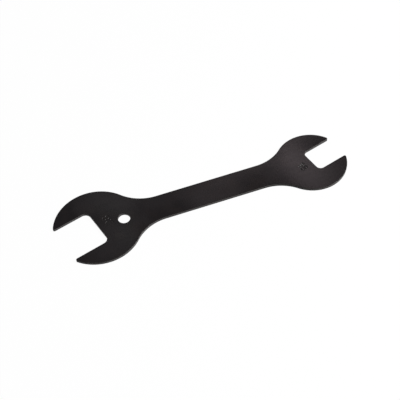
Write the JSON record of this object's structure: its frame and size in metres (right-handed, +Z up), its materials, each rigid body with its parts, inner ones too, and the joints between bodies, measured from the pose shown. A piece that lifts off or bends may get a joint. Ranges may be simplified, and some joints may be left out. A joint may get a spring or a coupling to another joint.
{
  "type": "double-ended cone wrench",
  "caption": "Thin flat double-ended open wrench with angled jaws, rounded heads, a straight handle and a round hanging hole, for holding the narrow flats of wheel hub cones.",
  "frame": {"origin": "on the underside of the plate, midway between the centres of the two round heads", "axes": "+X along the wrench from the large head to the small head, +Y across the handle in the plane of the plate, +Z up through the plate's thickness"},
  "size_m": [0.2013, 0.058, 0.002],
  "materials": {
    "black_steel": "satin black oxide on plain steel"
  },
  "bodies": {
    "root": {"cone_wrench": "black_steel"}
  },
  "joints": []
}
